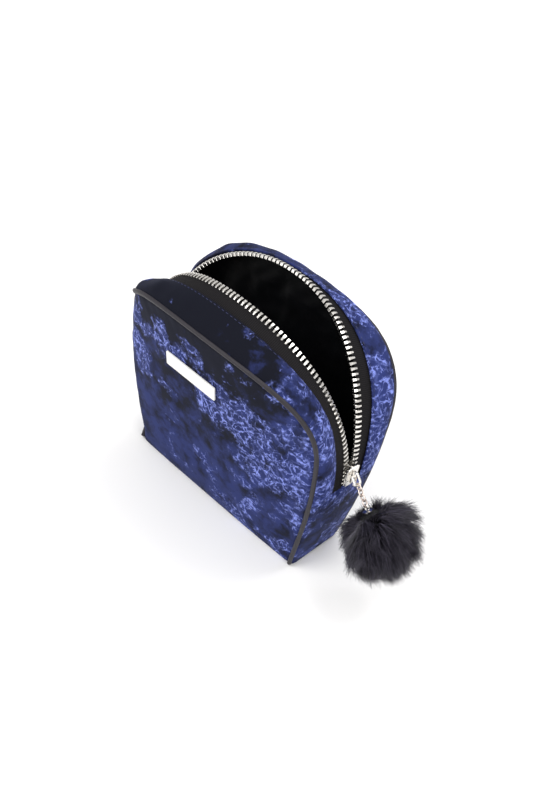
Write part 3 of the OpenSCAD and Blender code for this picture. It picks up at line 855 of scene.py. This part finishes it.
# ---- Base
# The same velvet over foam, flat on whatever the pouch stands on, and a satin floor inside.
def flat_piece(name, node, sag, finish, side_clear=0, end_clear=0, thickness=0.9 * MM):
    low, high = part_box(node)

    def place(across, along):
        x = low.x - end_clear + (high.x - low.x + 2 * end_clear) * along
        y = low.y + side_clear + (high.y - low.y - 2 * side_clear) * across
        edge = min(across, 1 - across, along, 1 - along)
        wave = sag * wavy(x, y, 7, 16 * MM) * min(1, edge * 8)
        return Vector((x, y, low.z + 0.1 * MM + wave))

    made = cloth(name, 30, 90, place, thickness)
    made.data.materials.append(finish)
    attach(made, "pouch_base")
    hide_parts(node)
    return made


base = flat_piece("base_velvet", "base_panel", 0.05 * MM, VELVET, side_clear=3.5 * MM)
store_crush_and_painted_light(base)
flat_piece("base_satin", "base_lining", 0.3 * MM, SATIN, thickness=0.4 * MM)
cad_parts["base_foam"].data.materials.clear()
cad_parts["base_foam"].data.materials.append(FOAM)


# ---- Name plate
# A thin zinc plate in white enamel, left blank, held by two prongs through the velvet.
tree, shader, ENAMEL = material("white_stove_enamel")
place = in_mm(tree)
mottle = add(tree, "TexNoise", {"Vector": place, "Scale": 1 / 7, "Detail": 3})
tree.links.new(add(tree, "Mix", {0: mottle, 6: linear("#dcdad6"), 7: linear("#e9e8e5")}, output=2,
                   data_type="RGBA"), shader.inputs["Base Color"])
peel = add(tree, "TexNoise", {"Vector": place, "Scale": 1 / 1.2})
relief = add(tree, "Bump", {"Height": peel, "Strength": 0.08, "Distance": 0.05 * MM})
tree.links.new(relief, shader.inputs["Normal"])
shader.inputs["Roughness"].default_value = 0.3
shader.inputs["Coat Weight"].default_value = 0.3
shader.inputs["Coat Roughness"].default_value = 0.15

PLATE = (40 * MM, 0.9 * MM, 10 * MM)
low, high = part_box("name_plate")
middle = (low + high) / 2
rise = 5 * MM
tip_back = math.atan2(panel_depth(middle.x, middle.z + rise) - panel_depth(middle.x, middle.z - rise),
                      2 * rise)
swing = -math.atan2(panel_depth(middle.x + rise, middle.z) - panel_depth(middle.x - rise, middle.z),
                    2 * rise)
shell = bmesh.new()
bmesh.ops.create_cube(shell, size=1, matrix=Matrix.Diagonal((*PLATE, 1)))
upright = [e for e in shell.edges if abs(e.verts[0].co.y - e.verts[1].co.y) > PLATE[1] / 2]
bmesh.ops.bevel(shell, geom=upright, offset=0.8 * MM, affect="EDGES", segments=4, profile=0.5,
                material=-1)
face = [f for f in shell.faces if f.normal.y < -0.9]
bmesh.ops.inset_region(shell, faces=face, thickness=0.9 * MM)
bmesh.ops.inset_region(shell, faces=face, thickness=0.15 * MM, depth=-0.12 * MM)
rims = [e for e in shell.edges if e.calc_face_angle(0) > 1.2]
bmesh.ops.bevel(shell, geom=rims, offset=0.12 * MM, affect="EDGES", segments=2, profile=0.5,
                material=-1)
bmesh.ops.transform(shell, verts=shell.verts, matrix=Matrix.Translation(middle)
                    @ Matrix.Rotation(swing, 4, "Z") @ Matrix.Rotation(tip_back, 4, "X"))
plate = bpy.data.objects.new("enamel_plate", bpy.data.meshes.new("enamel_plate"))
shell.to_mesh(plate.data)
shell.free()
bpy.context.scene.collection.objects.link(plate)
plate.data.materials.append(ENAMEL)
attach(plate, "front_half")
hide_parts("name_plate")


# ---- Slider, bail and chain
# Die-cast zinc slider and bent steel wire, all plated bright nickel; the links' plating is a
# little warmer.
tree, shader, PLATED = material("bright_nickel_plate")
wear = add(tree, "TexNoise", {"Vector": in_mm(tree), "Scale": 1 / 2.5, "Detail": 4})
tree.links.new(add(tree, "Mix", {0: wear, 6: linear("#dedad5"), 7: linear("#f6f4f0")}, output=2,
                   data_type="RGBA"), shader.inputs["Base Color"])
tree.links.new(add(tree, "MapRange", {"Value": wear, "To Min": 0.1, "To Max": 0.28}),
               shader.inputs["Roughness"])
shader.inputs["Metallic"].default_value = 1

tree, shader, WIRE = material("nickel_plated_steel_wire")
wear = add(tree, "TexNoise", {"Vector": in_mm(tree), "Scale": 1 / 1.2, "Detail": 3})
tree.links.new(add(tree, "Mix", {0: wear, 6: linear("#cdbfb6"), 7: linear("#eee4dd")}, output=2,
                   data_type="RGBA"), shader.inputs["Base Color"])
tree.links.new(add(tree, "MapRange", {"Value": wear, "To Min": 0.15, "To Max": 0.35}),
               shader.inputs["Roughness"])
shader.inputs["Metallic"].default_value = 1

low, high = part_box("slider_body")
SLIDER_LEN, SLIDER_W = high.z - low.z, high.y - low.y
PLATE_T = 1.1 * MM
SLIDER_GAP = (TOOTH_H / 2 + 0.7 * MM)
slider_mid = Vector((low.x + SLIDER_GAP + PLATE_T, 0, (low.z + high.z) / 2))


def block(shell, size, place, foot_share=1, corner=0, edge=0.25 * MM):
    """Adds a cast block: its foot narrower than its head, its upright corners and edges rounded."""
    part = bmesh.new()
    bmesh.ops.create_cube(part, size=1, matrix=Matrix.Diagonal((*size, 1)))
    for vert in part.verts:
        if vert.co.z < 0:
            vert.co.y *= foot_share
    if corner:
        through = [e for e in part.edges if abs(e.verts[0].co.x - e.verts[1].co.x) > size[0] / 2]
        bmesh.ops.bevel(part, geom=through, offset=corner, affect="EDGES", segments=5, profile=0.5,
                        material=-1)
    rims = [e for e in part.edges if e.calc_face_angle(0) > 1]
    bmesh.ops.bevel(part, geom=rims, offset=edge, affect="EDGES", segments=2, profile=0.5, material=-1)
    bmesh.ops.translate(part, verts=part.verts, vec=place)
    made = bpy.data.meshes.new("block")
    part.to_mesh(made)
    part.free()
    shell.from_mesh(made)
    bpy.data.meshes.remove(made)


shell = bmesh.new()
for out in (-1, 1):
    block(shell, (PLATE_T, SLIDER_W, SLIDER_LEN), slider_mid + Vector((out * (SLIDER_GAP + PLATE_T / 2),
                                                                       0, 0)), foot_share=0.74,
          corner=2.2 * MM)
    for edge_side_sign in (-1, 1):
        block(shell, (1.4 * MM, 1 * MM, SLIDER_LEN * 0.72),
              slider_mid + Vector((out * (SLIDER_GAP - 0.5 * MM), edge_side_sign * SLIDER_W * 0.4,
                                   -1 * MM)))
block(shell, (2 * SLIDER_GAP, 1.4 * MM, 4 * MM), slider_mid + Vector((0, 0, SLIDER_LEN / 2 - 2.4 * MM)))
bridge_h = high.x - slider_mid.x - SLIDER_GAP - PLATE_T
block(shell, (bridge_h, 2 * MM, SLIDER_LEN - 3 * MM),
      Vector((high.x - bridge_h / 2, 0, slider_mid.z - 0.3 * MM)), edge=0.7 * MM)
bmesh.ops.recalc_face_normals(shell, faces=shell.faces)
slider = bpy.data.objects.new("cast_slider", bpy.data.meshes.new("cast_slider"))
shell.to_mesh(slider.data)
shell.free()
bpy.context.scene.collection.objects.link(slider)
slider.data.materials.append(PLATED)
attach(slider, "slider")
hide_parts("slider_body")

for node, finish in (("puller_bail", PLATED), ("pompom_cap", PLATED),
                     ("chain_link_1", WIRE), ("chain_link_2", WIRE), ("chain_link_3", WIRE),
                     ("chain_link_4", WIRE)):
    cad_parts[node].data.materials.clear()
    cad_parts[node].data.materials.append(finish)


# ---- Pompom
# Long-pile acrylic fur sewn round a ball of fibre filling. The hairs leave the skin in tufts,
# bend under their own weight and taper to greyer tips; their near-black roots are painted shade deep in
# the pile.
HAIRS = 16500
HAIR_ROOT_W = 0.4 * MM
tree, shader, FUR = material("acrylic_fur")
along_hair = add(tree, "Attribute", attribute_name="along_hair", output="Fac")
tone_and_highlight = add(tree, "Attribute", attribute_name="tone_and_highlight", output="Fac")
# Darker towards the root: painted shade deep in the pile.
colour = add(tree, "Mix", {0: add(tree, "MapRange", {"Value": along_hair, "From Min": 0.2,
                                                     "From Max": 1}, interpolation_type="SMOOTHSTEP"),
                           6: linear("#040305"), 7: linear("#211f27")}, output=2, data_type="RGBA")
# Some hairs are lightened to grey at random: random tone that also stands in for painted highlights on
# lit strands.
colour = add(tree, "Mix", {0: tone_and_highlight, 6: colour, 7: linear("#5b5766")}, output=2, data_type="RGBA")
tree.links.new(colour, shader.inputs["Base Color"])
shader.inputs["Roughness"].default_value = 0.36
shader.inputs["Specular IOR Level"].default_value = 0.35

low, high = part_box("pompom_stuffing")
fur_centre, core_r = (low + high) / 2, (high.x - low.x) / 2
fur_r = (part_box("pompom_fur")[1].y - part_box("pompom_fur")[0].y) / 2
chain_way = (fur_centre - sum(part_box("puller_bail"), Vector()) / 2).normalized()

shell = bmesh.new()
bmesh.ops.create_cone(shell, cap_ends=False, segments=3, radius1=0.5, radius2=0.06, depth=1,
                      matrix=Matrix.Translation((0, 0, 0.5)))
bmesh.ops.subdivide_edges(shell, edges=[e for e in shell.edges
                                        if abs(e.verts[0].co.z - e.verts[1].co.z) > 0.5], cuts=1)
fur = bpy.data.objects.new("fur", bpy.data.meshes.new("one_hair"))
shell.to_mesh(fur.data)
shell.free()
bpy.context.scene.collection.objects.link(fur)
copies = fur.modifiers.new("copies", "ARRAY")
copies.count = HAIRS
copies.use_relative_offset = False
copies.use_constant_offset = True
copies.constant_offset_displace = (2, 0, 0)
comb = bpy.data.meshes.new_from_object(fur.evaluated_get(bpy.context.evaluated_depsgraph_get()))
fur.modifiers.clear()
fur.data = comb
comb.name = "fur"

draw = np.random.default_rng(11)
tufts = 260
golden = math.pi * (3 - math.sqrt(5))
order = np.arange(HAIRS) + 0.5
level = 1 - 2 * order / HAIRS
ring = np.sqrt(1 - level ** 2)
root_way = np.stack([ring * np.cos(golden * order), ring * np.sin(golden * order), level], 1)
tuft_level = 1 - 2 * (np.arange(tufts) + 0.5) / tufts
tuft_ring = np.sqrt(1 - tuft_level ** 2)
tuft_turn = golden * np.arange(tufts) + draw.uniform(-0.2, 0.2, tufts)
tuft_way = np.stack([tuft_ring * np.cos(tuft_turn), tuft_ring * np.sin(tuft_turn), tuft_level], 1)
nearest = (root_way @ tuft_way.T).argmax(1)
tuft_lean = draw.normal(0, 0.16, (tufts, 3))
tuft_long = draw.uniform(0.98, 1.2, tufts)
gather = 0.5
sweep = np.array(chain_way) - root_way * (root_way @ np.array(chain_way))[:, None]
tip_way = root_way * (1 - gather) + tuft_way[nearest] * gather + tuft_lean[nearest] + 0.45 * sweep
tip_way += draw.normal(0, 0.085, (HAIRS, 3))
tip_way /= np.linalg.norm(tip_way, axis=1)[:, None]
reach = fur_r * tuft_long[nearest] * draw.uniform(0.86, 1.04, HAIRS)
reach *= 1 - 0.23 * np.clip(0.4 - tip_way[:, 0] / 0.4, 0, 1)  # pressed short where it faces the pouch
root = root_way * (core_r - 1 * MM)
tip = tip_way * reach[:, None] + np.array([0, 0, -1.0]) * (1.6 * MM * draw.uniform(0.3, 1, HAIRS))[:,
                                                                                                   None]
bend = root_way * (core_r + reach[:, None]) * 0.5

places = np.empty(len(comb.vertices) * 3)
comb.vertices.foreach_get("co", places)
places = places.reshape(-1, 3)
hair = np.rint(places[:, 0] / 2).astype(int)
share = places[:, 2]
side_x, side_y = places[:, 0] - 2 * hair, places[:, 1]
way = tip_way[hair]
first_side = np.cross(way, np.array([0.3, 0.5, 0.81]))
first_side /= np.linalg.norm(first_side, axis=1)[:, None]
second_side = np.cross(way, first_side)
t = share[:, None]
line = root[hair] * (1 - t) ** 2 + 2 * bend[hair] * t * (1 - t) + tip[hair] * t ** 2
line += (first_side * side_x[:, None] + second_side * side_y[:, None]) * HAIR_ROOT_W
towards_chain = root_way @ np.array(-chain_way)
off_chain = np.where(towards_chain > 0, np.sqrt(np.clip(1 - towards_chain ** 2, 0, 1)), 1)
line *= (0.55 + 0.45 * np.clip((off_chain - 0.2) / 0.3, 0, 1))[hair][:, None]  # parted for the chain
places = line + np.array(fur_centre)
comb.vertices.foreach_set("co", places.ravel())
comb.attributes.new("along_hair", "FLOAT", "POINT").data.foreach_set("value", share.astype(np.float32))
# Random per-hair lightening, partly painted highlight on lit strands.
tones_and_highlights = (draw.uniform(0, 1, HAIRS) ** 3 * 0.95)[hair]
comb.attributes.new("tone_and_highlight", "FLOAT", "POINT").data.foreach_set("value", tones_and_highlights.astype(np.float32))
comb.update()
comb.materials.append(FUR)
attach(fur, "pompom")
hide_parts("pompom_fur")

tree, shader, BACKING = material("fur_backing_knit")
knit = add(tree, "TexVoronoi", {"Vector": in_mm(tree), "Scale": 1 / 1.2})
tree.links.new(add(tree, "Mix", {0: knit, 6: linear("#050506"), 7: linear("#0d0c0f")}, output=2,
                   data_type="RGBA"), shader.inputs["Base Color"])
shader.inputs["Roughness"].default_value = 0.95
shell = bmesh.new()
bmesh.ops.create_icosphere(shell, subdivisions=4, radius=core_r + 0.2 * MM)
for vert in shell.verts:
    vert.co *= 1 + 0.05 * wavy(*vert.co, 6 * MM)
bmesh.ops.translate(shell, verts=shell.verts, vec=fur_centre)
ball = bpy.data.objects.new("fur_ball", bpy.data.meshes.new("fur_ball"))
shell.to_mesh(ball.data)
shell.free()
ball.data.shade_smooth()
bpy.context.scene.collection.objects.link(ball)
ball.data.materials.append(BACKING)
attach(ball, "pompom")
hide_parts("pompom_stuffing")
